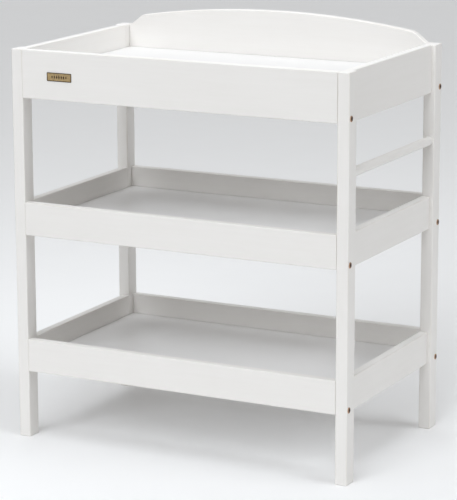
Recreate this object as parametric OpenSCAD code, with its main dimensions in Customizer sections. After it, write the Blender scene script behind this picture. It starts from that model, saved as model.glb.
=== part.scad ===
// Open changing table: two glued end frames joined by bolted boards, with a
// deep tray on top, two shelves below and a towel rail at the right end.
// X runs along the width, Y from front to back, Z up from the floor.
// The origin is on the floor, under the middle of the table.

/* [Overall] */
// Width over the legs' outer faces
table_w = 860; // [600:5:1000]
// Depth over the legs' front and back faces
table_d = 525; // [420:5:650]
// Clear height under the bottom boards
floor_gap = 163; // [100:1:220]
// Clear height between the bottom and the middle boards
bottom_bay = 253; // [200:1:320]
// Clear height between the middle boards and the tray's boards
middle_bay = 247; // [200:1:320]

/* [Legs] */
// Leg's size along the width
leg_w = 29; // [26:1:40]
// Leg's size along the depth
leg_d = 40; // [36:1:60]
// Radius of the eased edges on legs and boards
edge_r = 2.5; // [1:0.5:4]

/* [Boards] */
// Thickness of every upright board
board_t = 20; // [16:1:24]
// Height of the boards round the tray
tray_board_h = 114; // [90:1:140]
// Height of the boards round each shelf
shelf_board_h = 79; // [65:1:100]

/* [Back panel] */
// Height of the arch's middle above the tray's boards
arch_rise = 54; // [45:1:80]
// How much of that height is the bow of the long arch itself
arch_bow = 35; // [20:1:35]
// Slope of the shoulder at each end of the arch, in degrees
shoulder_angle = 38; // [30:1:50]
// Radius of the hollow at the shoulder's foot
foot_r = 12; // [5:1:20]
// Radius of the round at the shoulder's top
shoulder_r = 32; // [10:1:40]

/* [Deck and shelves] */
// Height of the deck's battens above the tray boards' bottom edge
deck_batten_up = 31; // [2:1:40]
// Height of a shelf's battens above its boards' bottom edge
shelf_batten_up = 2; // [0:1:20]
// Thickness of the deck and the shelves
shelf_t = 9; // [6:1:12]
// Gap all round the deck and the shelves
shelf_gap = 1; // [0.5:0.5:2]

/* [Battens] */
// Batten's size across the table
batten_w = 18; // [16:1:24]
// Batten's height
batten_h = 18; // [12:1:18]
// Gap between a batten's end and the leg's inner line
batten_end_gap = 4; // [2:1:20]
// Wood screws in each batten
batten_screws = 5; // [3:1:7]
// Distance from a board's end to the first screw
screw_inset = 80; // [75:5:120]
// Length of a batten screw
screw_l = 30; // [26:1:32]
// Diameter of a batten screw
screw_d = 3.5; // [3:0.5:4]
// Diameter of a batten screw's head
screw_head_d = 7; // [6:0.5:8]

/* [Towel rail] */
// Diameter of the towel rail
towel_d = 22; // [18:1:24]
// Distance from the tray's boards down to the towel rail's centre
towel_down = 114; // [60:1:150]
// Diameter of the spigot at each end
spigot_d = 14; // [10:1:16]
// Length of each spigot
spigot_l = 15; // [10:1:20]

/* [Connector bolts] */
// Height of the bolts above their board's bottom edge
bolt_up = 12; // [11:1:16]
// Diameter of the bolt's shank
bolt_d = 6; // [5:1:8]
// Length of the bolt under its head
bolt_l = 60; // [58:1:75]
// Diameter of the bolt's head
bolt_head_d = 14; // [12:1:18]
// Thickness of the head at its rim
bolt_rim_t = 1; // [0.5:0.5:2]
// Height of the head's dome above its rim
bolt_dome = 1.4; // [0.8:0.1:2]
// Size across the flats of the hex socket
socket_af = 4; // [3:1:5]
// Depth of the hex socket
socket_depth = 3; // [2:0.5:4]
// Clearance of the bolt in its holes, on the diameter
bolt_clear = 1; // [0.5:0.5:2]
// Diameter of the barrel nut
nut_d = 10; // [8:1:12]
// Length of the barrel nut
nut_l = 16; // [12:1:18]
// Distance from a board's end to its barrel nut
nut_inset = 25; // [20:1:30]
// Clearance of the nut in its hole, on the diameter
nut_clear = 0.4; // [0.2:0.2:1]
// Clearance of the bolt in the nut, on the diameter
thread_clear = 0.1; // [0.1:0.1:0.4]

/* [Dowels] */
// Diameter of the beech dowels
dowel_d = 8; // [6:1:10]
// Length of the beech dowels
dowel_l = 30; // [25:1:34]
// Depth of a locating dowel below its board's top edge
locate_down = 26; // [22:1:36]
// Distance of an end board's dowels from its top and bottom edges
end_dowel_in = 20; // [15:1:25]
// Depth of a locating dowel in the leg
locate_depth = 14; // [10:1:18]
// Clearance of a glued dowel in its hole, on the diameter
dowel_clear = 0.1; // [0.1:0.1:0.4]
// Room left past the end of a dowel or spigot
end_room = 1; // [0.5:0.5:2]

/* [Badge] */
// Length of the plate
badge_w = 65; // [40:1:90]
// Height of the plate
badge_h = 20; // [14:1:30]
// Thickness of the plate at its rim
badge_t = 1.2; // [1:0.1:2]
// Width of the raised rim
badge_rim = 1.6; // [1:0.1:2.5]
// Depth of the field inside the rim
badge_field = 0.4; // [0.2:0.1:0.6]
// Radius of the plate's corners
badge_r = 1.5; // [1:0.25:3]
// Distance from the leg to the plate
badge_in = 67; // [20:1:150]
// Depth of the plate's middle below the tray's top edge
badge_down = 59; // [40:1:80]
// Diameter of the pins that hold the plate
pin_d = 1.6; // [1.2:0.2:2.4]
// Length of the pins' shanks
pin_l = 9; // [6:1:14]

/* [Hidden] */

$fn = 48;
LEFT = -1;
RIGHT = 1;
FRONT = -1;
BACK = 1;
SIDES = [LEFT, RIGHT];
FACES = [FRONT, BACK];
// A little more than nothing, so that a cut passes right through a face
past = 1;

// The boards' bottom edges, from the floor up, and the top of the legs, which
// is also the top of the tray's boards
middle_bottom = floor_gap + shelf_board_h + bottom_bay;
tray_bottom = middle_bottom + shelf_board_h + middle_bay;
leg_h = tray_bottom + tray_board_h;

// Each level holds its boards' bottom edge, their height, and the height of
// its battens above that edge
TRAY = [tray_bottom, tray_board_h, deck_batten_up];
MIDDLE = [middle_bottom, shelf_board_h, shelf_batten_up];
BOTTOM = [floor_gap, shelf_board_h, shelf_batten_up];
LEVELS = [TRAY, MIDDLE, BOTTOM];

function board_bottom(level) = level[0];
function board_h(level) = level[1];
function board_top(level) = level[0] + level[1];
function board_mid(level) = level[0] + level[1] / 2;
function batten_z(level) = level[0] + level[2] + batten_h / 2;
function shelf_z(level) = level[0] + level[2] + batten_h + shelf_t / 2;
function bolt_z(level) = board_bottom(level) + bolt_up;
function locate_z(level) = board_top(level) - locate_down;
function end_dowel_zs(level) =
  [board_bottom(level) + end_dowel_in, board_top(level) - end_dowel_in];

// Length of the boards between the left and right legs, and between the
// front and back legs
long_l = table_w - 2 * leg_w;
end_l = table_d - 2 * leg_d;
// Distance from the table's middle to each piece's centre line
leg_x = (table_w - leg_w) / 2;
leg_y = (table_d - leg_d) / 2;
long_y = (table_d - board_t) / 2;
end_x = (long_l + board_t) / 2;
batten_y = table_d / 2 - board_t - batten_w / 2;
// Size of the deck and the shelves
shelf_w = long_l - 2 * shelf_gap;
shelf_d = table_d - 2 * (board_t + shelf_gap);
batten_l = long_l - 2 * batten_end_gap;
// Half the length of the row of screws in a batten, and the screws' pitch
screw_reach = long_l / 2 - screw_inset;
screw_pitch = 2 * screw_reach / (batten_screws - 1);
screw_xs = [for (i = [0 : batten_screws - 1]) i * screw_pitch - screw_reach];
// Length of a countersunk head's cone, at 45 degrees, and of a screw's point
screw_cone = (screw_head_d - screw_d) / 2;
screw_point = 4;
screw_tip_d = 0.2;
screw_clear = 0.1;
// The cross recess in a screw's head
cross_l = 0.7 * screw_head_d;
cross_w = 0.9;
cross_depth = 0.7;
// Depth of a locating dowel in its board, and of an end dowel in leg and board
board_depth = dowel_l - locate_depth;
end_depth = dowel_l / 2;
// A barrel nut's middle is on the bolt's axis
nut_x = long_l / 2 - nut_inset;
nut_bottom = bolt_up - nut_l / 2;
// Middle of a locating dowel, which is deeper in its board than in the leg
locate_mid = long_l / 2 + locate_depth - dowel_l / 2;
towel_z = tray_bottom - towel_down;
badge_x = badge_in + badge_w / 2 - long_l / 2;
badge_z = leg_h - badge_down;
badge_floor_t = badge_t - badge_field;
pin_head_d = 2 * pin_d;
pin_head_t = 0.5;
pin_clear = 0.1;
// The pins' heads stand as far from the rim as they are wide
pin_x = badge_w / 2 - badge_rim - 1.5 * pin_head_d;

// ---- shapes ----

// Rectangle with round corners, centred
module eased_rect(w, h, r) {
  square([w, h - 2 * r], center = true);
  square([w - 2 * r, h], center = true);
  for (x = [-1, 1], y = [-1, 1])
    translate([x * (w / 2 - r), y * (h / 2 - r)]) circle(r);
}

// Extrusions that stay centred, along X and along Y. The outline's own Y
// axis becomes Z
module along_x(l) {
  rotate([90, 0, 90]) linear_extrude(l, center = true) children();
}
module along_y(l) {
  rotate([90, 0, 0]) linear_extrude(l, center = true) children();
}

// Block with all its edges eased
module eased_block(w, d, h, r) {
  intersection() {
    linear_extrude(h, center = true) eased_rect(w, d, r);
    along_x(w + past) eased_rect(d, h, r);
    along_y(d + past) eased_rect(w, h, r);
  }
}

// Rod centred on a point, along X or along Y
module rod_x(d, l) {
  rotate([0, 90, 0]) cylinder(d = d, h = l, center = true);
}
module rod_y(d, l) {
  rotate([90, 0, 0]) cylinder(d = d, h = l, center = true);
}

// ---- holes, each placed by the piece that fits it ----

module bolt_holes(side, face) {
  for (level = LEVELS)
    translate([side * (table_w / 2 - bolt_l / 2), face * long_y, bolt_z(level)])
      rod_x(bolt_d + bolt_clear, bolt_l + 2 * past);
}

module nut_holes(level, side, face) {
  height = nut_bottom + nut_l + end_room;
  translate([side * nut_x, face * long_y, board_bottom(level) - past])
    cylinder(d = nut_d + nut_clear, h = height + past);
}

module locate_holes(side, face) {
  for (level = LEVELS)
    translate([side * locate_mid, face * long_y, locate_z(level)])
      rod_x(dowel_d + dowel_clear, dowel_l + 2 * end_room);
}

module end_dowel_holes(side, face) {
  for (level = LEVELS, z = end_dowel_zs(level))
    translate([side * end_x, face * end_l / 2, z])
      rod_y(dowel_d + dowel_clear, dowel_l + 2 * end_room);
}

// ---- legs ----

module leg(side, face) {
  color("whitesmoke")
    difference() {
      translate([side * leg_x, face * leg_y, leg_h / 2])
        eased_block(leg_w, leg_d, leg_h, edge_r);
      bolt_holes(side, face);
      locate_holes(side, face);
      end_dowel_holes(side, face);
      if (side == RIGHT) spigot_hole(face);
    }
}

module leg_front_left() { leg(LEFT, FRONT); }
module leg_front_right() { leg(RIGHT, FRONT); }
module leg_back_left() { leg(LEFT, BACK); }
module leg_back_right() { leg(RIGHT, BACK); }

// ---- boards between the left and right legs ----

// Cuts that every long board has at both ends, and along its inner face
module long_board_cuts(level, face) {
  for (side = SIDES) {
    bolt_holes(side, face);
    locate_holes(side, face);
    nut_holes(level, side, face);
  }
  place_screws(level, face) screw(screw_clear);
}

module long_board(level, face) {
  color("whitesmoke")
    difference() {
      translate([0, face * long_y, board_mid(level)])
        along_x(long_l) eased_rect(board_t, board_h(level), edge_r);
      long_board_cuts(level, face);
    }
}

module top_front_rail() {
  color("whitesmoke")
    difference() {
      long_board(TRAY, FRONT);
      place_pins() rod_y(pin_d + pin_clear, 2 * (pin_l + end_room));
    }
}
module middle_front_rail() { long_board(MIDDLE, FRONT); }
module bottom_front_rail() { long_board(BOTTOM, FRONT); }
module middle_back_rail() { long_board(MIDDLE, BACK); }
module bottom_back_rail() { long_board(BOTTOM, BACK); }

// Points along an arc about a centre, from one angle to another
shoulder_steps = 8;
arch_steps = 48;
function arc(c, r, from, to, steps) =
  [for (i = [0 : steps])
    let (a = from + (to - from) * i / steps) c + r * [cos(a), sin(a)]];

// The left half of the panel's top edge, from the leg: a hollow, a slope and
// a round that runs into the long arch. Heights are above the leg's top
slope = [cos(shoulder_angle), sin(shoulder_angle)];
slope_right = [slope[1], -slope[0]];
foot_end = [0, foot_r] + foot_r * slope_right;
arch_r = (long_l * long_l / 4 + arch_bow * arch_bow) / (2 * arch_bow);
arch_centre = [long_l / 2, arch_rise - arch_r];
// The round's centre is as far up the slope as brings it to touch the arch
round_start = foot_end + shoulder_r * slope_right;
start_gap = round_start - arch_centre;
half_b = start_gap * slope;
reach = arch_r - shoulder_r;
round_centre = round_start
  + (sqrt(half_b * half_b - start_gap * start_gap + reach * reach) - half_b)
  * slope;
join = round_centre - arch_centre;
join_angle = atan2(join[1], join[0]);
shoulder = concat(
  arc([0, foot_r], foot_r, -90, shoulder_angle - 90, shoulder_steps),
  arc(round_centre, shoulder_r, shoulder_angle + 90, join_angle, shoulder_steps)
);
arch = arc(arch_centre, arch_r, join_angle, 180 - join_angle, arch_steps);
right_shoulder = [
  for (i = [len(shoulder) - 1 : -1 : 0])
    [long_l - shoulder[i][0], shoulder[i][1]]
];
// The arch shares its end points with the two shoulders
arch_middle = [for (i = [1 : len(arch) - 2]) arch[i]];
panel_outline = concat(
  [[0, -tray_board_h]], shoulder, arch_middle, right_shoulder,
  [[long_l, -tray_board_h]]
);

module back_panel() {
  color("whitesmoke")
    difference() {
      translate([-long_l / 2, long_y, leg_h])
        rotate([90, 0, 0])
          linear_extrude(board_t, center = true) polygon(panel_outline);
      long_board_cuts(TRAY, BACK);
    }
}

// ---- boards between the front and back legs ----

module end_board(level, side) {
  color("whitesmoke")
    difference() {
      translate([side * end_x, 0, board_mid(level)])
        along_y(end_l) eased_rect(board_t, board_h(level), edge_r);
      for (face = FACES) end_dowel_holes(side, face);
    }
}

module top_left_end_rail() { end_board(TRAY, LEFT); }
module top_right_end_rail() { end_board(TRAY, RIGHT); }
module middle_left_end_rail() { end_board(MIDDLE, LEFT); }
module middle_right_end_rail() { end_board(MIDDLE, RIGHT); }
module bottom_left_end_rail() { end_board(BOTTOM, LEFT); }
module bottom_right_end_rail() { end_board(BOTTOM, RIGHT); }

// ---- deck, shelves and the battens under them ----

module shelf(level) {
  color("white")
    translate([0, 0, shelf_z(level)])
      cube([shelf_w, shelf_d, shelf_t], center = true);
}

module changing_deck() { shelf(TRAY); }
module middle_shelf() { shelf(MIDDLE); }
module bottom_shelf() { shelf(BOTTOM); }

module batten(level, face) {
  color("whitesmoke")
    difference() {
      translate([0, face * batten_y, batten_z(level)])
        cube([batten_l, batten_w, batten_h], center = true);
      place_screws(level, face) screw(screw_clear);
    }
}

module deck_batten_front() { batten(TRAY, FRONT); }
module deck_batten_back() { batten(TRAY, BACK); }
module middle_batten_front() { batten(MIDDLE, FRONT); }
module middle_batten_back() { batten(MIDDLE, BACK); }
module bottom_batten_front() { batten(BOTTOM, FRONT); }
module bottom_batten_back() { batten(BOTTOM, BACK); }

// Countersunk screw along Z with its head's face at the origin and its point
// down. The clearance is on the diameter
module screw(clear = 0) {
  neck = screw_d + clear;
  head = screw_head_d + clear;
  translate([0, 0, -screw_cone])
    cylinder(d1 = neck, d2 = head, h = screw_cone);
  translate([0, 0, screw_point - screw_l])
    cylinder(d = neck, h = screw_l - screw_point - screw_cone);
  translate([0, 0, -screw_l])
    cylinder(d1 = screw_tip_d + clear, d2 = neck, h = screw_point);
}

// The screws of one batten, each with its head on the batten's inner face
module place_screws(level, face) {
  for (x = screw_xs)
    translate([x, face * (batten_y - batten_w / 2), batten_z(level)])
      rotate([face * 90, 0, 0]) children();
}

module batten_screws(level) {
  color("silver")
    for (face = FACES)
      place_screws(level, face)
        difference() {
          screw();
          for (turn = [0, 90])
            rotate(turn) cube([cross_l, cross_w, 2 * cross_depth], center = true);
        }
}

module batten_screws_deck() { batten_screws(TRAY); }
module batten_screws_middle() { batten_screws(MIDDLE); }
module batten_screws_bottom() { batten_screws(BOTTOM); }

// ---- towel rail ----

module spigot_hole(face) {
  depth = spigot_l + end_room;
  translate([leg_x, face * (end_l + depth) / 2, towel_z])
    rod_y(spigot_d + dowel_clear, depth);
}

module towel_rail() {
  color("whitesmoke")
    translate([leg_x, 0, towel_z]) {
      rod_y(towel_d, end_l);
      rod_y(spigot_d, end_l + 2 * spigot_l);
    }
}

// ---- bolts, nuts and dowels ----

// Bolt along Z, with the underside of its head at the origin
module connector_bolt() {
  top = bolt_rim_t + bolt_dome;
  dome_r = (bolt_head_d * bolt_head_d / 4 + bolt_dome * bolt_dome)
    / (2 * bolt_dome);
  difference() {
    union() {
      translate([0, 0, -bolt_l]) cylinder(d = bolt_d, h = bolt_l);
      cylinder(d = bolt_head_d, h = bolt_rim_t);
      intersection() {
        cylinder(d = bolt_head_d, h = top);
        translate([0, 0, top - dome_r]) sphere(dome_r);
      }
    }
    translate([0, 0, top - socket_depth])
      cylinder(d = socket_af / cos(30), h = socket_depth + past, $fn = 6);
  }
}

module connector_bolts(side) {
  color("peru")
    for (level = LEVELS, face = FACES)
      translate([side * table_w / 2, face * long_y, bolt_z(level)])
        rotate([0, side * 90, 0]) connector_bolt();
}

module connector_bolts_left() { connector_bolts(LEFT); }
module connector_bolts_right() { connector_bolts(RIGHT); }

// Barrel nut standing on the origin, cross-drilled for the bolt
module barrel_nut() {
  difference() {
    cylinder(d = nut_d, h = nut_l);
    translate([0, 0, nut_l / 2]) rod_x(bolt_d + thread_clear, nut_d + 2 * past);
  }
}

module barrel_nuts(side) {
  color("silver")
    for (level = LEVELS, face = FACES) {
      z = board_bottom(level) + nut_bottom;
      translate([side * nut_x, face * long_y, z]) barrel_nut();
    }
}

module barrel_nuts_left() { barrel_nuts(LEFT); }
module barrel_nuts_right() { barrel_nuts(RIGHT); }

module locating_dowels(side) {
  color("burlywood")
    for (level = LEVELS, face = FACES)
      translate([side * locate_mid, face * long_y, locate_z(level)])
        rod_x(dowel_d, dowel_l);
}

module locating_dowels_left() { locating_dowels(LEFT); }
module locating_dowels_right() { locating_dowels(RIGHT); }

module end_dowels(level) {
  color("burlywood")
    for (side = SIDES, face = FACES, z = end_dowel_zs(level))
      translate([side * end_x, face * end_l / 2, z]) rod_y(dowel_d, dowel_l);
}

module end_dowels_top() { end_dowels(TRAY); }
module end_dowels_middle() { end_dowels(MIDDLE); }
module end_dowels_bottom() { end_dowels(BOTTOM); }

// ---- badge ----

// The two pins' places on the rail's front face
module place_pins() {
  for (x = [-1, 1])
    translate([badge_x + x * pin_x, -table_d / 2, badge_z]) children();
}

module badge_plate() {
  field_w = badge_w - 2 * badge_rim;
  field_h = badge_h - 2 * badge_rim;
  color("goldenrod")
    difference() {
      translate([badge_x, -(table_d + badge_t) / 2, badge_z])
        along_y(badge_t) eased_rect(badge_w, badge_h, badge_r);
      translate([badge_x, -table_d / 2 - badge_floor_t - past / 2, badge_z])
        along_y(past) square([field_w, field_h], center = true);
      place_pins() rod_y(pin_d + pin_clear, 2 * (badge_t + past));
    }
}

module badge_pins() {
  shank_l = pin_l + badge_floor_t;
  color("goldenrod")
    place_pins() {
      translate([0, (pin_l - badge_floor_t) / 2, 0]) rod_y(pin_d, shank_l);
      translate([0, -badge_floor_t - pin_head_t / 2, 0])
        rod_y(pin_head_d, pin_head_t);
    }
}

// ---- nodes ----

leg_front_left();
leg_front_right();
leg_back_left();
leg_back_right();
top_front_rail();
middle_front_rail();
bottom_front_rail();
back_panel();
middle_back_rail();
bottom_back_rail();
top_left_end_rail();
top_right_end_rail();
middle_left_end_rail();
middle_right_end_rail();
bottom_left_end_rail();
bottom_right_end_rail();
changing_deck();
middle_shelf();
bottom_shelf();
deck_batten_front();
deck_batten_back();
middle_batten_front();
middle_batten_back();
bottom_batten_front();
bottom_batten_back();
towel_rail();
connector_bolts_left();
connector_bolts_right();
barrel_nuts_left();
barrel_nuts_right();
locating_dowels_left();
locating_dowels_right();
end_dowels_top();
end_dowels_middle();
end_dowels_bottom();
batten_screws_deck();
batten_screws_middle();
batten_screws_bottom();
badge_plate();
badge_pins();
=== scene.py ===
"""Looks of an open changing table: white satin paint on wood, bronzed bolts, a brass plate.

Lengths are in metres. X runs along the width, Y from front to back and Z up from the floor.
"""

import math

import bmesh
import bpy
from mathutils import Matrix, Vector


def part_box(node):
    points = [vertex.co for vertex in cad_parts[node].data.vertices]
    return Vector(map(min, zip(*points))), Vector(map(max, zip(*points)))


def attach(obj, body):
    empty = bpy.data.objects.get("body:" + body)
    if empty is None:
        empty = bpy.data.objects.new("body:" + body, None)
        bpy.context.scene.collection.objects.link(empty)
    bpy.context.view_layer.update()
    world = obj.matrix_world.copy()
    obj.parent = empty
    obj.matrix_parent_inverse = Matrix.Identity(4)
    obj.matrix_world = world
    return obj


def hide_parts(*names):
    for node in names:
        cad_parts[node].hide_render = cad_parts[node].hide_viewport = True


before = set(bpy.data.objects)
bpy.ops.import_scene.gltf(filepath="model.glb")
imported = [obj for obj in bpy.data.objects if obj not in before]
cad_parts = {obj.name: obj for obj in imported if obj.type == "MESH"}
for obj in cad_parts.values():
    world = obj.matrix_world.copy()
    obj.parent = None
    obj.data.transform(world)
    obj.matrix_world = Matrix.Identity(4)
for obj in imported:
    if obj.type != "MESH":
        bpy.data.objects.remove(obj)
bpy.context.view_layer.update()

MM = 0.001
X, Y, Z = (Vector(axis) for axis in ((1, 0, 0), (0, 1, 0), (0, 0, 1)))

# ---- sizes ----

# Round on the long edges of legs and boards
EASE = 2.5 * MM
# Round on a long board's ends, which meet the legs flush
END_EASE = 0.9 * MM
# Round on the towel bar's and the spigots' ends
BAR_EASE = 0.7 * MM
# Round on the deck, the shelves and the battens
SHEET_EASE = 0.6 * MM
BATTEN_EASE = 1.2 * MM
# A cutter passes this far through the face that it cuts
PAST = 1 * MM
# Room past the end of a dowel, nut or spigot
END_ROOM = 1 * MM
# Width of the small chamfer at the mouth of a hole that shows
MOUTH = 0.4 * MM
# Room all round dowels and spigots, plate pins and barrel nuts
DOWEL_ROOM = 0.05 * MM
PIN_ROOM = 0.05 * MM
NUT_ROOM = 0.2 * MM
BOLT_HOLE_R = 3.5 * MM
# Radius of the spigots at the towel bar's ends
SPIGOT_R = 7 * MM
# Faces across a board's rounded edges, and across finer rounds
EASE_STEPS = 5
FINE_STEPS = 3

# The arched board: how far its long arch bows, its shoulders' slope, the hollow at a shoulder's
# foot and the round at its top, and the steps along each of the three curves
ARCH_BOW = 35 * MM
SHOULDER_SLOPE = math.radians(38)
FOOT_R = 12 * MM
SHOULDER_R = 32 * MM
FOOT_STEPS = 10
SHOULDER_STEPS = 8
ARCH_STEPS = 24

# The bolts
HEAD_R = 7 * MM
HEAD_RIM = 1 * MM
HEAD_DOME = 1.4 * MM
HEAD_EASE = 0.3 * MM
HEAD_RINGS = 7
SHANK_R = 3 * MM
SHANK_L = 60 * MM
# Share of the shank's radius left at its point
SHANK_TAPER = 0.82
SOCKET_ACROSS = 4 * MM
SOCKET_DEEP = 3 * MM
SOCKET_OPENING = 0.25 * MM
# How much further each bolt is turned than the one before
TWIST = math.radians(23)

# The brass plate
PLATE_CORNER = 1.5 * MM
PLATE_RIM = 1.6 * MM
PLATE_FIELD = 0.4 * MM
PLATE_SLOPE = 0.2 * MM
PLATE_EASE = 0.25 * MM
# The lozenges on it: how many there are each side of the middle one, the steps from the middle to
# the field's end, how far they are sunk into the field, and how thick they are
LOZENGES_ASIDE = 3
LOZENGE_STEPS = 5
LOZENGE_SUNK = 0.2 * MM
LOZENGE_THICK = 0.5 * MM
# Shares: the middle one's height and the fall of each next one, of the height there is, half a
# lozenge's width, of the step between two, and its top, of its foot
LOZENGE_TALLEST = 0.92
LOZENGE_FALL = 0.11
LOZENGE_WIDTH = 0.4
LOZENGE_TOP = 0.7

# Points this close are one point, and a face or vertex this near a plane lies in it
TOUCHING = 1e-6
NEAR = 1e-5
# Least part along its axis of the direction of a face that points that way and of an edge that
# runs that way, and most part of an edge that runs across
FACING = 0.999
ALONG = 0.99
ACROSS = 0.1
# Edges of the plate that bend by more than this, in radians, are sharp
SHARP = 0.1
PIN_HOLE_SIDES = 24


# ---- selecting and editing ----


def select_only(*pieces):
    """Leaves just these pieces selected, the first one active, in object mode."""
    if bpy.context.object and bpy.context.object.mode != "OBJECT":
        bpy.ops.object.mode_set(mode="OBJECT")
    bpy.ops.object.select_all(action="DESELECT")
    for piece in pieces:
        piece.select_set(True)
    bpy.context.view_layer.objects.active = pieces[0] if pieces else None


def edit(piece, mode, wanted):
    """Opens a piece in edit mode with only the wanted vertices, edges or faces selected."""
    select_only(piece)
    bpy.ops.object.mode_set(mode="EDIT")
    bpy.ops.mesh.select_mode(type=mode)
    bpy.ops.mesh.select_all(action="DESELECT")
    mesh = bmesh.from_edit_mesh(piece.data)
    parts = {"VERT": mesh.verts, "EDGE": mesh.edges, "FACE": mesh.faces}[mode]
    for part in parts:
        if wanted(part):
            part.select_set(True)
    mesh.select_flush_mode()
    bmesh.update_edit_mesh(piece.data)


def done():
    """Leaves edit mode."""
    bpy.ops.object.mode_set(mode="OBJECT")


def apply(piece, kind, **settings):
    """Adds a modifier with these settings and applies it."""
    select_only(piece)
    modifier = piece.modifiers.new(kind.lower(), kind)
    for key, value in settings.items():
        setattr(modifier, key, value)
    bpy.ops.object.modifier_apply(modifier=modifier.name)


def settle(piece):
    """Puts a piece's place, turn and size into its mesh."""
    select_only(piece)
    bpy.ops.object.transform_apply(location=True, rotation=True, scale=True)
    return piece


def everything(part):
    """A test that takes every vertex, edge or face."""
    return True


def named(piece, name):
    """Names a piece and its mesh alike."""
    piece.name = name
    piece.data.name = name
    return piece


def block(name, low, high):
    """A cube primitive that fills a box."""
    select_only()
    bpy.ops.mesh.primitive_cube_add(size=1, location=(low + high) / 2)
    piece = named(bpy.context.object, name)
    piece.scale = high - low
    return settle(piece)


def rod(name, start, end, radius, sides=48):
    """A cylinder primitive whose axis runs from one point to another, along X, Y or Z."""
    select_only()
    turn = (end - start).to_track_quat("Z", "Y").to_euler()
    bpy.ops.mesh.primitive_cylinder_add(
        vertices=sides,
        radius=radius,
        depth=(end - start).length,
        location=(start + end) / 2,
        rotation=turn,
    )
    return settle(named(bpy.context.object, name))


def join(name, pieces):
    """One object from several."""
    select_only(*pieces)
    if len(pieces) > 1:
        bpy.ops.object.join()
    return named(bpy.context.object, name)


def copy_of(piece, name):
    """A copy with its own mesh."""
    select_only(piece)
    bpy.ops.object.duplicate(linked=False)
    return named(bpy.context.object, name)


def cut(piece, cutter):
    """Takes the cutter's shape out of a piece, and clears the slivers that this leaves."""
    apply(piece, "BOOLEAN", operation="DIFFERENCE", solver="EXACT", object=cutter)
    bpy.data.objects.remove(cutter)
    edit(piece, "EDGE", everything)
    bpy.ops.mesh.dissolve_degenerate(threshold=TOUCHING)
    done()


def smooth(piece, angle=35):
    """Smooth shading on rounds, with the broad faces kept flat."""
    select_only(piece)
    bpy.ops.object.shade_smooth_by_angle(angle=math.radians(angle))
    apply(piece, "WEIGHTED_NORMAL", keep_sharp=True)


def bevel(width, segments, material=-1):
    """Rounds the selected edges."""
    bpy.ops.mesh.bevel(
        offset=width, segments=segments, profile=0.5, affect="EDGES", material=material
    )


def faces_towards(direction):
    """A test for faces whose normal points this way."""
    return lambda face: face.normal.dot(direction) > FACING


def at_plane(part, direction, place):
    """Whether all a part's vertices lie where direction times position is place."""
    return all(abs(v.co.dot(direction) - place) < NEAR for v in part.verts)


# ---- finishes ----


class Wire:
    """A socket in a finish's nodes. Arithmetic on wires adds Math nodes."""

    def __init__(self, finish, socket):
        self.finish = finish
        self.socket = socket

    def maths(self, operation, first, second):
        """One Math node on two values."""
        return self.finish.node("Math", {"operation": operation}, {0: first, 1: second})

    def __add__(self, other):
        return self.maths("ADD", self, other)

    def __radd__(self, other):
        return self.maths("ADD", other, self)

    def __sub__(self, other):
        return self.maths("SUBTRACT", self, other)

    def __rsub__(self, other):
        return self.maths("SUBTRACT", other, self)

    def __mul__(self, other):
        return self.maths("MULTIPLY", self, other)

    def __rmul__(self, other):
        return self.maths("MULTIPLY", other, self)


class Finish:
    """A material under construction, from its Principled shader up."""

    def __init__(self, name):
        self.material = bpy.data.materials.new(name)
        self.material.use_nodes = True
        self.tree = self.material.node_tree
        self.shader = self.tree.nodes["Principled BSDF"]

    def node(self, kind, settings=None, sockets=None, output=0):
        """Adds a node: its settings first, then its sockets' values or links."""
        made = self.tree.nodes.new("ShaderNode" + kind)
        for key, value in (settings or {}).items():
            if key == "stops":
                self.set_stops(made.color_ramp, value)
            else:
                setattr(made, key, value)
        for key, value in (sockets or {}).items():
            self.plug(made.inputs[key], value)
        return Wire(self, made.outputs[output])

    def set_stops(self, ramp, stops):
        """Gives a ramp these (place, brightness) stops."""
        while len(ramp.elements) < len(stops):
            ramp.elements.new(1)
        for element, (place, value) in zip(ramp.elements, stops):
            element.position = place
            element.color = (value, value, value, 1)

    def plug(self, socket, value):
        """Links a wire to a socket, or sets the socket's own value."""
        if isinstance(value, Wire):
            self.tree.links.new(value.socket, socket)
        elif isinstance(value, tuple) and len(value) == 3 and socket.type == "RGBA":
            socket.default_value = (*value, 1)
        else:
            socket.default_value = value

    def noise(self, scale, detail=3, stretch=(1, 1, 1), roughness=0.5):
        """Noise from 0 to 1 in the piece's own metres, stretched by axis."""
        place = self.node("TexCoord", output="Object")
        turned = self.node("Mapping", None, {"Vector": place, "Scale": stretch})
        sockets = {
            "Vector": turned,
            "Scale": scale,
            "Detail": detail,
            "Roughness": roughness,
        }
        return self.node("TexNoise", None, sockets, "Fac")

    def ramp(self, value, *stops):
        """A value carried through a ramp of (place, brightness) stops."""
        return self.node("ValToRGB", {"stops": stops}, {"Fac": value})

    def blend(self, amount, first, second):
        """A colour between two, by amount."""
        settings = {"data_type": "RGBA"}
        return self.node("Mix", settings, {0: amount, 6: first, 7: second}, 2)

    def bump(self, height, depth):
        """Relief on the shader's normal, its height from 0 to 1 times a depth."""
        sockets = {"Strength": 1.0, "Distance": depth, "Height": height}
        self.set("Normal", self.node("Bump", None, sockets, "Normal"))

    def set(self, socket, value):
        """Links or sets one of the shader's sockets."""
        self.plug(self.shader.inputs[socket], value)


# How far noise is drawn out along the grain
GRAIN = {"x": (0.06, 1, 1), "y": (1, 0.06, 1), "z": (1, 1, 0.06)}
PAINT_WHITE = (0.852, 0.832, 0.805)
PAINT_SHADE = (0.826, 0.804, 0.774)
UNDERCOAT = (0.72, 0.66, 0.58)


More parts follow.
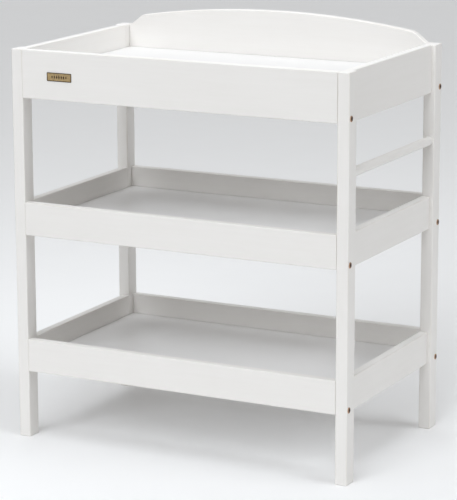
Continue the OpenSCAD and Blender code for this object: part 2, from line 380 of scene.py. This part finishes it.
def satin_paint(grain, worn):
    """White satin paint that shows the wood's grain faintly along one axis.

    Worn paint is for the eased edges, where the brush leaves less of it.
    """
    finish = Finish(f"satin_paint_{grain}_{'edge' if worn else 'face'}")
    figure = finish.noise(90, 3, GRAIN[grain], 0.6)
    pores = finish.noise(650, 2, GRAIN[grain])
    peel = finish.noise(420, 2)
    cloud = finish.noise(5, 2)
    shade = finish.ramp(0.45 * figure + 0.2 * pores + 0.35 * cloud, (0.35, 0), (0.7, 1))
    colour = finish.blend(shade, PAINT_WHITE, PAINT_SHADE)
    if worn:
        thin = finish.ramp(finish.noise(60, 4, GRAIN[grain], 0.65), (0.5, 0), (0.8, 1))
        colour = finish.blend(0.08 + 0.5 * thin, colour, UNDERCOAT)
    finish.set("Base Color", colour)
    finish.set("Roughness", 0.36 + 0.08 * cloud + 0.06 * pores)
    finish.bump(0.5 * figure + 0.3 * pores + 0.2 * peel, 0.05 * MM)
    return finish.material


def faced_board():
    """Smooth white facing on the deck and the shelves, with a roller's fine texture."""
    finish = Finish("faced_board")
    cloud = finish.noise(4, 2)
    roller = finish.noise(520, 3)
    wiped = finish.noise(14, 4, (0.25, 1, 1), 0.65)
    colour = finish.blend(cloud, (0.79, 0.78, 0.77), (0.75, 0.74, 0.73))
    finish.set("Base Color", colour)
    finish.set("Roughness", 0.30 + 0.12 * wiped + 0.05 * roller)
    finish.bump(roller, 0.03 * MM)
    return finish.material


def bronze_with_painted_highlight():
    """Bronze plating, with painted shade darkest in the middle of a head and a painted highlight
    brightest at its rim.
    """
    finish = Finish("bronze_with_painted_highlight")
    from_axis = finish.node("Attribute", {"attribute_name": "from_axis"}, output="Fac")
    blotch = finish.noise(900, 4, roughness=0.6)
    # Painted shade in the head's middle and a painted highlight towards its rim, set by the
    # distance from the axis
    painted_rim_highlight = finish.ramp(from_axis + 0.25 * blotch, (0.75, 0), (1.08, 1))
    # The dark colour is the painted shade and the bright one is the painted highlight
    colour = finish.blend(painted_rim_highlight, (0.11, 0.070, 0.048), (0.60, 0.39, 0.26))
    finish.set("Base Color", colour)
    finish.set("Metallic", 0.75 + 0.25 * painted_rim_highlight)
    finish.set("Roughness", 0.46 - 0.14 * painted_rim_highlight + 0.1 * blotch)
    finish.bump(blotch, 0.02 * MM)
    return finish.material


def plate_brass():
    """The plate's field: brushed brass, dulled in patches."""
    finish = Finish("plate_brass")
    brushed = finish.noise(2600, 3, (0.04, 1, 1))
    tarnish = finish.noise(160, 4, roughness=0.65)
    dull = finish.ramp(tarnish, (0.42, 0), (0.72, 1))
    colour = finish.blend(0.55 * dull, (0.56, 0.42, 0.22), (0.26, 0.17, 0.08))
    finish.set("Base Color", colour)
    finish.set("Metallic", 0.9 - 0.15 * dull)
    finish.set("Roughness", 0.42 + 0.12 * dull + 0.1 * brushed)
    finish.bump(0.7 * brushed + 0.3 * tarnish, 0.03 * MM)
    return finish.material


def plate_patina():
    """Dark patina on the plate's rim and relief, with the brass showing in specks."""
    finish = Finish("plate_patina")
    speck = finish.noise(1400, 4, roughness=0.7)
    bright = finish.ramp(speck, (0.55, 0), (0.8, 1))
    colour = finish.blend(bright, (0.055, 0.036, 0.020), (0.42, 0.29, 0.14))
    finish.set("Base Color", colour)
    finish.set("Metallic", 0.5 + 0.4 * bright)
    finish.set("Roughness", 0.55 - 0.15 * bright)
    finish.bump(speck, 0.03 * MM)
    return finish.material


def bright_zinc():
    """Zinc plating on nuts and screws, with a faint spangle."""
    finish = Finish("bright_zinc")
    spangle = finish.node(
        "TexVoronoi",
        None,
        {"Vector": finish.node("TexCoord", output="Object"), "Scale": 700.0},
        "Distance",
    )
    film = finish.noise(240, 3)
    colour = finish.blend(film, (0.66, 0.67, 0.69), (0.52, 0.54, 0.55))
    finish.set("Base Color", colour)
    finish.set("Metallic", 1.0)
    finish.set("Roughness", 0.26 + 0.12 * film + 0.08 * spangle)
    finish.bump(spangle, 0.01 * MM)
    return finish.material


def bare_beech(grain):
    """Unpainted beech, with its short dark flecks along the grain."""
    finish = Finish(f"bare_beech_{grain}")
    figure = finish.noise(160, 3, GRAIN[grain], 0.6)
    fleck = finish.ramp(finish.noise(1500, 2, GRAIN[grain]), (0.58, 0), (0.66, 1))
    wood = finish.blend(figure, (0.60, 0.40, 0.23), (0.47, 0.29, 0.155))
    finish.set("Base Color", finish.blend(0.6 * fleck, wood, (0.26, 0.13, 0.06)))
    finish.set("Roughness", 0.62 - 0.1 * fleck)
    finish.bump(0.6 * figure + 0.4 * fleck, 0.06 * MM)
    return finish.material


PAINT = {grain: satin_paint(grain, worn=False) for grain in "xyz"}
THIN_PAINT = {grain: satin_paint(grain, worn=True) for grain in "xyz"}
FACED = faced_board()
BRONZE = bronze_with_painted_highlight()
BRASS = plate_brass()
PATINA = plate_patina()
ZINC = bright_zinc()
BEECH = {grain: bare_beech(grain) for grain in "xy"}

# Place of the thin paint in a wooden piece's list of materials
EDGE_SLOT = 1


# ---- the fasteners' places, read from the frame ----


def solids(node):
    """The box of each separate solid in a CAD node."""
    spare = copy_of(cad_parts[node], "spare")
    edit(spare, "VERT", everything)
    bpy.ops.mesh.remove_doubles(threshold=TOUCHING)
    bpy.ops.mesh.separate(type="LOOSE")
    done()
    boxes = []
    for part in list(bpy.context.selected_objects):
        corners = [Vector(v.co) for v in part.data.vertices]
        low = Vector([min(c[i] for c in corners) for i in range(3)])
        high = Vector([max(c[i] for c in corners) for i in range(3)])
        boxes.append((low, high))
        bpy.data.objects.remove(part)
    return boxes


def overlap(first, second):
    """Whether two boxes share any space."""
    return all(first[0][i] < second[1][i] and second[0][i] < first[1][i] for i in range(3))


def middle(box):
    """A box's middle point."""
    return (box[0] + box[1]) / 2


def dowel_hole(box):
    """The hole of a dowel, with room all round and past both ends."""
    size = box[1] - box[0]
    axis = (X, Y, Z)[max(range(3), key=lambda i: size[i])]
    reach = axis * (size.dot(axis) / 2 + END_ROOM)
    radius = min(size) / 2 + DOWEL_ROOM
    return rod("hole", middle(box) - reach, middle(box) + reach, radius)


def bolt_hole(box):
    """The hole of a connector bolt, from its point to outside its leg."""
    centre = middle(box)
    reach = X * ((box[1].x - box[0].x) / 2 + PAST)
    return rod("hole", centre - reach, centre + reach, BOLT_HOLE_R)


def flared(start, mouth, radius, flare, name="hole"):
    """A rod whose end opens at 45 degrees from a little inside the face at its mouth."""
    out = (mouth - start).normalized()
    piece = rod(name, start, mouth - out * flare, radius)
    edit(piece, "FACE", faces_towards(out))
    rise = flare + PAST
    bpy.ops.mesh.extrude_region_move(TRANSFORM_OT_translate={"value": out * rise})
    grow = (radius + rise) / radius
    bpy.ops.transform.resize(
        value=[1 if abs(out[i]) > 0.5 else grow for i in range(3)],
        center_override=mouth,
    )
    done()
    return piece


def nut_hole(box, board_bottom):
    """The hole of a barrel nut, drilled up from its board's bottom edge."""
    centre = middle(box)
    top = Vector((centre.x, centre.y, box[1].z + END_ROOM))
    mouth = Vector((centre.x, centre.y, board_bottom))
    radius = (box[1].x - box[0].x) / 2 + NUT_ROOM
    return flared(top, mouth, radius, MOUTH)


def screw_hole(box):
    """The countersunk hole of a batten screw, whose head faces the table's middle."""
    centre = middle(box)
    inward = -1 if centre.y > 0 else 1
    face = min(abs(box[0].y), abs(box[1].y)) * -inward
    deep = max(abs(box[0].y), abs(box[1].y)) * -inward
    point = Vector((centre.x, deep, centre.z))
    mouth = Vector((centre.x, face, centre.z))
    head_r = (box[1].x - box[0].x) / 2
    neck_r = head_r / 2
    return flared(point, mouth, neck_r, head_r - neck_r)


def pin_hole(box):
    """The hole of a plate pin, whose shank is half as wide as its head."""
    centre = middle(box)
    radius = (box[1].x - box[0].x) / 4 + PIN_ROOM
    outside = Vector((centre.x, box[0].y - END_ROOM, centre.z))
    bottom = Vector((centre.x, box[1].y + END_ROOM, centre.z))
    return rod("hole", outside, bottom, radius, PIN_HOLE_SIDES)


SIDES = ("left", "right")
LEVELS = ("top", "middle", "bottom")
bolts = {side: solids(f"connector_bolts_{side}") for side in SIDES}
nuts = [box for side in SIDES for box in solids(f"barrel_nuts_{side}")]
dowels = [box for side in SIDES for box in solids(f"locating_dowels_{side}")]
dowels += [box for level in LEVELS for box in solids(f"end_dowels_{level}")]
screws = [box for level in ("deck", "middle", "bottom") for box in solids(f"batten_screws_{level}")]
pins = solids("badge_pins")
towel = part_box("towel_rail")
towel_r = (towel[1].z - towel[0].z) / 2


def drill(piece, box, board_bottom=None):
    """Drills a wooden piece for every fastener that reaches into its box."""
    cutters = [dowel_hole(b) for b in dowels if overlap(b, box)]
    cutters += [bolt_hole(b) for side in SIDES for b in bolts[side] if overlap(b, box)]
    cutters += [screw_hole(b) for b in screws if overlap(b, box)]
    cutters += [pin_hole(b) for b in pins if overlap(b, box)]
    if board_bottom is not None:
        cutters += [nut_hole(b, board_bottom) for b in nuts if overlap(b, box)]
    if overlap(towel, box):
        reach = Y * END_ROOM
        ends = [Vector((middle(towel).x, towel[i].y, middle(towel).z)) for i in (0, 1)]
        cutters.append(rod("hole", ends[0] - reach, ends[1] + reach, SPIGOT_R + DOWEL_ROOM))
    if cutters:
        cut(piece, join("holes", cutters))


# ---- wooden pieces ----


def paint(piece, grain):
    """Gives a piece its paint, and the thin paint that bevelled edges take."""
    piece.data.materials.append(PAINT[grain])
    piece.data.materials.append(THIN_PAINT[grain])


def finish_piece(piece, slot, *nodes):
    """Smooths a piece and sets it in place of its CAD nodes."""
    smooth(piece)
    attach(piece, "root")
    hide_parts(*nodes)


def leg(name, node):
    """A leg with every edge rounded, drilled for bolts and dowels."""
    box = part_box(node)
    piece = block(name, *box)
    paint(piece, "z")
    edit(piece, "EDGE", everything)
    bevel(EASE, EASE_STEPS, EDGE_SLOT)
    done()
    drill(piece, box)
    finish_piece(piece, "painted_wood", node)


def ease_board(piece, box, axis, width, end_width):
    """Rounds a board's long edges, then the small edges round its two ends."""
    edit(piece, "EDGE", lambda edge: abs(edge_direction(edge).dot(axis)) > ALONG)
    bevel(width, EASE_STEPS, EDGE_SLOT)
    done()
    ease_ends(piece, axis, [corner.dot(axis) for corner in box], end_width)


def ease_ends(piece, axis, ends, width):
    """Rounds the edges round a board's two ends."""
    edit(piece, "EDGE", lambda edge: any(at_plane(edge, axis, end) for end in ends))
    bevel(width, FINE_STEPS, EDGE_SLOT)
    done()


def edge_direction(edge):
    """The way that an edge runs, one metre long."""
    return (edge.verts[1].co - edge.verts[0].co).normalized()


def is_upright(edge):
    """Whether an edge runs along Z."""
    return abs(edge_direction(edge).z) > ALONG


def board(name, node, grain, nuts_below=False):
    """An upright board, rounded and drilled. An end board, whose grain runs along Y, is flush with
    its legs inside and stands back from them outside, where its ends are as round as its edges."""
    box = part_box(node)
    piece = block(name, *box)
    paint(piece, grain)
    if grain == "x":
        ease_board(piece, box, X, EASE, END_EASE)
    else:
        inner = min(box[0].x, box[1].x, key=abs)
        edit(piece, "EDGE", lambda edge: not (is_upright(edge) and at_plane(edge, X, inner)))
        bevel(EASE, EASE_STEPS, EDGE_SLOT)
        done()
    drill(piece, box, box[0].z if nuts_below else None)
    finish_piece(piece, "painted_wood", node)


def arch_heights(box, shoulder_z):
    """The arched board's top edge, as (x, height) from its left end to its middle.

    It starts level at the leg's top in a small hollow, climbs a straight shoulder, and rounds
    into the long arch. The round's middle lies where the slope's and the arch's offsets cross.
    """
    half = (box[1].x - box[0].x) / 2
    rise = box[1].z - shoulder_z
    slope = Vector((math.cos(SHOULDER_SLOPE), math.sin(SHOULDER_SLOPE)))
    right = Vector((slope.y, -slope.x))
    foot = Vector((-half, FOOT_R))
    arch_r = (half**2 + ARCH_BOW**2) / (2 * ARCH_BOW)
    arch_middle = Vector((0, rise - arch_r))
    start = foot + (FOOT_R + SHOULDER_R) * right
    gap = start - arch_middle
    along = gap.dot(slope)
    inner_r = arch_r - SHOULDER_R
    shoulder = start + slope * (math.sqrt(along**2 - gap.dot(gap) + inner_r**2) - along)
    join_at = (shoulder - arch_middle).normalized()
    rise_angle = math.degrees(SHOULDER_SLOPE)
    line = [
        foot + FOOT_R * turned(-90 + rise_angle * i / FOOT_STEPS) for i in range(FOOT_STEPS + 1)
    ]
    first, last = rise_angle + 90, math.degrees(math.atan2(join_at.y, join_at.x))
    line += [
        shoulder + SHOULDER_R * turned(first + (last - first) * i / SHOULDER_STEPS)
        for i in range(SHOULDER_STEPS + 1)
    ]
    line += [
        arch_middle + arch_r * turned(last + (90 - last) * i / ARCH_STEPS)
        for i in range(1, ARCH_STEPS + 1)
    ]
    return [(point.x, shoulder_z + point.y) for point in line]


def turned(degrees):
    """A vector one metre long, this far round from the right."""
    return Vector((math.cos(math.radians(degrees)), math.sin(math.radians(degrees))))


def arched_board(name, node):
    """The tray's back board: a plain board, parted at each point of its top edge, which is
    then lifted point by point to the arch."""
    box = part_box(node)
    shoulder_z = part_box("top_front_rail")[1].z
    plain = (box[0], Vector((box[1].x, box[1].y, shoulder_z)))
    piece = block(name, *plain)
    paint(piece, "x")
    half_line = arch_heights(box, shoulder_z)
    line = half_line + [(-x, z) for x, z in reversed(half_line[:-1])]
    for x, _ in line[1:-1]:
        edit(piece, "FACE", everything)
        bpy.ops.mesh.bisect(plane_co=(x, 0, 0), plane_no=X)
        done()
    for x, height in line[1:-1]:
        edit(piece, "VERT", lambda v: is_top_point(v, x, shoulder_z))
        bpy.ops.transform.translate(value=(0, 0, height - shoulder_z))
        done()
    low, high = plain
    edit(piece, "EDGE", lambda edge: is_panel_rim(edge, low, high))
    bevel(EASE, EASE_STEPS, EDGE_SLOT)
    done()
    ease_ends(piece, X, (low.x, high.x), END_EASE)
    drill(piece, box, box[0].z)
    finish_piece(piece, "painted_wood", node)


def is_top_point(vertex, x, top):
    """Whether a vertex lies on the top edge at this place along it."""
    return abs(vertex.co.x - x) < TOUCHING and vertex.co.z > top - TOUCHING


def is_panel_rim(edge, low, high):
    """Whether an edge runs along the front or back of the panel's top or bottom."""
    if abs(edge_direction(edge).x) < ACROSS:
        return False
    faces = [at_plane(edge, Y, y) for y in (low.y, high.y)]
    return any(faces)


def sheet_board(name, node):
    """The deck or a shelf: a thin faced board with its edges just broken."""
    piece = block(name, *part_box(node))
    piece.data.materials.append(FACED)
    edit(piece, "EDGE", everything)
    bevel(SHEET_EASE, FINE_STEPS)
    done()
    finish_piece(piece, "painted_board", node)


def batten(name, node):
    """A strip under the deck or a shelf, drilled and countersunk for its screws."""
    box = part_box(node)
    piece = block(name, *box)
    paint(piece, "x")
    ease_board(piece, box, X, BATTEN_EASE, SHEET_EASE)
    drill(piece, box)
    finish_piece(piece, "painted_batten", node)


def towel_bar():
    """A round bar with a smaller spigot at each end, let into the right legs."""
    centre = middle(towel)
    leg_faces = (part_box("leg_front_right")[1].y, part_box("leg_back_right")[0].y)
    ends = [Vector((centre.x, y, centre.z)) for y in leg_faces]
    piece = rod("towel_bar", ends[0], ends[1], towel_r, 64)
    paint(piece, "y")
    for end, out in ((0, -Y), (1, Y)):
        edit(piece, "FACE", faces_towards(out))
        bpy.ops.mesh.inset(thickness=towel_r - SPIGOT_R)
        length = abs(towel[end].y - leg_faces[end])
        bpy.ops.mesh.extrude_region_move(TRANSFORM_OT_translate={"value": out * length})
        done()
    rims = [*leg_faces, towel[0].y, towel[1].y]
    edit(piece, "EDGE", lambda edge: is_outer_rim(edge, centre, rims))
    bevel(BAR_EASE, FINE_STEPS, EDGE_SLOT)
    done()
    finish_piece(piece, "painted_wood", "towel_rail")


def is_outer_rim(edge, centre, rims):
    """Whether an edge goes round the bar or a spigot at one of its shoulders or ends."""
    if not any(at_plane(edge, Y, y) for y in rims):
        return False
    radii = [math.hypot(v.co.x - centre.x, v.co.z - centre.z) for v in edge.verts]
    at_spigot_foot = any(at_plane(edge, Y, y) for y in rims[:2]) and radii[0] < towel_r * 0.99
    return abs(radii[0] - radii[1]) < TOUCHING and not at_spigot_foot


# ---- bolts ----


def bolt():
    """A connector bolt along Z, its head's underside on the origin.

    The head starts as a disc and is domed by rings of insets. Its shank is drawn out of the
    underside, and the hex socket is cut last.
    """
    piece = rod("bolt", Vector((0, 0, 0)), Z * HEAD_RIM, HEAD_R, 48)
    top = HEAD_RIM + HEAD_DOME
    dome_r = (HEAD_R**2 + HEAD_DOME**2) / (2 * HEAD_DOME)
    radius, height = HEAD_R, HEAD_RIM
    edit(piece, "FACE", faces_towards(Z))
    for ring in range(1, HEAD_RINGS + 1):
        new_radius = HEAD_R * (1 - ring / (HEAD_RINGS + 1))
        new_height = top - dome_r + math.sqrt(dome_r**2 - new_radius**2)
        bpy.ops.mesh.inset(thickness=radius - new_radius, depth=new_height - height)
        radius, height = new_radius, new_height
    done()
    edit(piece, "FACE", faces_towards(-Z))
    bpy.ops.mesh.inset(thickness=HEAD_R - SHANK_R)
    bpy.ops.mesh.extrude_region_move(TRANSFORM_OT_translate={"value": (0, 0, -SHANK_L)})
    taper = (SHANK_TAPER, SHANK_TAPER, 1)
    bpy.ops.transform.resize(value=taper, center_override=(0, 0, -SHANK_L))
    done()
    edit(piece, "EDGE", is_head_rim)
    bevel(HEAD_EASE, FINE_STEPS)
    done()
    socket_r = SOCKET_ACROSS / 2 / math.cos(math.radians(30))
    floor = Z * (top - SOCKET_DEEP)
    cut(piece, hex_socket(floor, Z * top, socket_r))
    mark_distance(piece)
    return piece


def is_head_rim(edge):
    """Whether an edge goes round the head's cylinder, at its top or its underside."""
    radii = [v.co.xy.length for v in edge.verts]
    level = abs(edge.verts[0].co.z - edge.verts[1].co.z) < TOUCHING
    return level and all(abs(r - HEAD_R) < NEAR for r in radii)


def hex_socket(floor, mouth, radius):
    """The socket's cutter: six flats, opened a little at the mouth."""
    lip = mouth - Z * SOCKET_OPENING
    piece = rod("socket", floor, lip, radius, 6)
    edit(piece, "FACE", faces_towards(Z))
    rise = SOCKET_OPENING + PAST
    bpy.ops.mesh.extrude_region_move(TRANSFORM_OT_translate={"value": Z * rise})
    grow = (radius + rise) / radius
    bpy.ops.transform.resize(value=(grow, grow, 1), center_override=mouth)
    done()
    return piece


def mark_distance(piece):
    """Stores each vertex's distance from the bolt's axis, as a share of the head's radius."""
    mark = piece.data.attributes.new("from_axis", "FLOAT", "POINT")
    for vertex in piece.data.vertices:
        mark.data[vertex.index].value = vertex.co.xy.length / HEAD_R


def place_bolts(pattern, side):
    """Six copies of the bolt, each turned a little, in one leg frame."""
    out = X if side == "right" else -X
    copies = []
    for count, box in enumerate(bolts[side]):
        piece = copy_of(pattern, f"bolt_{side}_{count}")
        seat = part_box(f"leg_front_{side}")[1 if side == "right" else 0].x
        centre = middle(box)
        turn = out.to_track_quat("Z", "Y").to_matrix().to_4x4()
        twist = Matrix.Rotation(TWIST * count, 4, "Z")
        piece.matrix_world = Matrix.Translation((seat, centre.y, centre.z)) @ turn @ twist
        copies.append(settle(piece))
    piece = join(f"bolts_{side}", copies)
    finish_piece(piece, "bronzed_steel", f"connector_bolts_{side}")


# ---- the brass plate ----


def plate():
    """A small plate with a raised rim, a brushed field and a plain row of lozenges."""
    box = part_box("badge_plate")
    rim_y = box[0].y
    piece = block("brass_plate", *box)
    for finish in (PATINA, BRASS):
        piece.data.materials.append(finish)
    edit(piece, "FACE", faces_towards(-Y))
    bpy.ops.mesh.inset(thickness=PLATE_RIM)
    bpy.ops.mesh.inset(thickness=PLATE_SLOPE, depth=-PLATE_FIELD)
    piece.active_material_index = 1
    bpy.ops.object.material_slot_assign()
    done()
    edit(piece, "EDGE", lambda edge: is_corner(edge, box))
    bevel(PLATE_CORNER, EASE_STEPS)
    done()
    edit(piece, "EDGE", lambda edge: at_plane(edge, Y, rim_y) and edge.calc_face_angle() > SHARP)
    bevel(PLATE_EASE, 2)
    done()
    cut(piece, join("holes", [pin_hole(b) for b in pins]))
    ornament = lozenges(middle(box), rim_y + PLATE_FIELD, box)
    piece = join("brass_plate", [piece, *ornament])
    finish_piece(piece, "brass", "badge_plate")


def is_corner(edge, box):
    """Whether an edge runs through the plate's thickness at one of its four outer corners."""
    x_ends, z_ends = (box[0].x, box[1].x), (box[0].z, box[1].z)
    at_x_end = any(at_plane(edge, X, x) for x in x_ends)
    return at_x_end and any(at_plane(edge, Z, z) for z in z_ends)


def lozenges(centre, field_y, box):
    """A row of low lozenges on the plate's field, tallest in the middle."""
    made = []
    inside = (box[1].x - box[0].x) / 2 - PLATE_RIM
    tall = (box[1].z - box[0].z) / 2 - 2 * PLATE_RIM
    pitch = inside / LOZENGE_STEPS
    for place in range(-LOZENGES_ASIDE, LOZENGES_ASIDE + 1):
        height = tall * (LOZENGE_TALLEST - LOZENGE_FALL * abs(place))
        foot = Vector((centre.x + place * pitch, field_y + LOZENGE_SUNK, centre.z))
        piece = rod("lozenge", foot, foot - Y * LOZENGE_THICK, height, 4)
        edit(piece, "FACE", faces_towards(-Y))
        bpy.ops.transform.resize(value=(LOZENGE_TOP, 1, LOZENGE_TOP), center_override=foot)
        done()
        edit(piece, "VERT", everything)
        narrow = pitch * LOZENGE_WIDTH / height
        bpy.ops.transform.resize(value=(narrow, 1, 1), center_override=foot)
        done()
        piece.data.materials.append(PATINA)
        made.append(piece)
    return made


# ---- building ----

for face in ("front", "back"):
    for side in SIDES:
        leg(f"{face}_{side}_leg", f"leg_{face}_{side}")

for level in LEVELS:
    board(f"{level}_front_board", f"{level}_front_rail", "x", nuts_below=True)
    if level != "top":
        board(f"{level}_back_board", f"{level}_back_rail", "x", nuts_below=True)
    for side in SIDES:
        board(f"{level}_{side}_end_board", f"{level}_{side}_end_rail", "y")
arched_board("arched_back_board", "back_panel")

sheet_board("deck_board", "changing_deck")
sheet_board("middle_shelf_board", "middle_shelf")
sheet_board("bottom_shelf_board", "bottom_shelf")
for level in ("deck", "middle", "bottom"):
    for face in ("front", "back"):
        batten(f"{level}_{face}_strip", f"{level}_batten_{face}")

towel_bar()

pattern_bolt = bolt()
pattern_bolt.data.materials.append(BRONZE)
for side in SIDES:
    place_bolts(pattern_bolt, side)
bpy.data.objects.remove(pattern_bolt)

plate()

# CAD nodes whose shape is already right keep it, and take a better finish
KEPT = {"badge_pins": BRASS}
KEPT.update({f"barrel_nuts_{side}": ZINC for side in SIDES})
KEPT.update({f"batten_screws_{level}": ZINC for level in ("deck", "middle", "bottom")})
KEPT.update({f"locating_dowels_{side}": BEECH["x"] for side in SIDES})
KEPT.update({f"end_dowels_{level}": BEECH["y"] for level in LEVELS})
for node, finish in KEPT.items():
    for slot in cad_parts[node].material_slots:
        slot.material = finish


# ---- floor, lights and camera ----


# The point that every lamp is turned to, and how far off the broad lights stand
HEART = Vector((0, 0, 0.5))
FAR_AWAY = 10
COOL_WHITE = (0.965, 1.0, 1.04)
WARM_WHITE = (1.0, 0.93, 0.85)
FLOOR_GLOW = 0.05
FLOOR_SIZE = 400


def pale_floor():
    """A broad pale floor with a faint glow of its own, as of a lit sweep, clear from below so
    that the underside can be looked at."""
    select_only()
    bpy.ops.mesh.primitive_plane_add(size=FLOOR_SIZE)
    floor = named(bpy.context.object, "floor")
    finish = Finish("pale_floor")
    grain = finish.noise(6, 3)
    colour = finish.blend(grain, (0.93, 0.93, 0.93), (0.91, 0.91, 0.91))
    finish.set("Base Color", colour)
    finish.set("Roughness", 0.9)
    finish.set("Specular IOR Level", 0.1)
    finish.set("Emission Color", (1, 1, 1))
    finish.set("Emission Strength", FLOOR_GLOW)
    below = finish.node("NewGeometry", output="Backfacing")
    clear = finish.node("BsdfTransparent")
    shader = Wire(finish, finish.shader.outputs[0])
    mixed = finish.node("MixShader", None, {0: below, 1: shader, 2: clear})
    finish.plug(finish.tree.nodes["Material Output"].inputs["Surface"], mixed)
    floor.data.materials.append(finish.material)


def lamp(name, kind, place, aim, strength, **settings):
    """A lamp turned towards a point and unseen by the camera."""
    light = bpy.data.lights.new(name, kind)
    light.energy = strength
    light.color = COOL_WHITE
    for key, value in settings.items():
        setattr(light, key, value)
    holder = bpy.data.objects.new(name, light)
    bpy.context.scene.collection.objects.link(holder)
    holder.location = place
    holder.rotation_euler = (aim - place).to_track_quat("-Z", "Y").to_euler()
    holder.visible_camera = False


def broad_light(name, azimuth, elevation, spread, strength):
    """Even light from a wide patch far away. Azimuth 0 is in front, 90 at the right end."""
    across = math.cos(math.radians(elevation))
    around = math.radians(azimuth)
    up = math.sin(math.radians(elevation))
    towards = Vector((across * math.sin(around), -across * math.cos(around), up))
    place = HEART + FAR_AWAY * towards
    lamp(name, "SUN", place, HEART, strength, angle=math.radians(spread))


def plain_world(strength):
    """Even, slightly warm light from all round."""
    world = bpy.data.worlds.new("studio")
    world.use_nodes = True
    background = world.node_tree.nodes["Background"]
    background.inputs["Color"].default_value = (*WARM_WHITE, 1)
    background.inputs["Strength"].default_value = strength
    bpy.context.scene.world = world


# The camera: the point that it looks at, how far round to the right and how far above the level
# it stands, its small lean, its distance and its focal length and sensor in millimetres
AIM = Vector((0.0021, -0.0047, 0.4478))
AZIMUTH = math.radians(27.258)
ELEVATION = math.radians(12.829)
ROLL = math.radians(-0.168)
DISTANCE = 5.609
LENS = 170.07
SENSOR = 36


def studio_camera():
    """The camera, in front of the table and a little to its right."""
    lens = bpy.data.cameras.new("studio_camera")
    lens.lens = LENS
    lens.sensor_width = SENSOR
    camera = bpy.data.objects.new("studio_camera", lens)
    bpy.context.scene.collection.objects.link(camera)
    turn = Matrix.Rotation(AZIMUTH, 4, "Z") @ Matrix.Rotation(math.pi / 2 - ELEVATION, 4, "X")
    back = turn @ Z
    camera.matrix_world = (
        Matrix.Translation(AIM + back * DISTANCE) @ turn @ Matrix.Rotation(ROLL, 4, "Z")
    )
    bpy.context.scene.camera = camera


pale_floor()
plain_world(0.15)
lamp("overhead", "AREA", Vector((0, -0.2, 3.4)), HEART, 56, size=3.0)
broad_light("front", 0, 35, 40, 1.5)
broad_light("right", 90, 35, 40, 0.86)
broad_light("back_left", -140, 20, 40, 0.35)
studio_camera()
bpy.context.scene.view_settings.view_transform = "Standard"
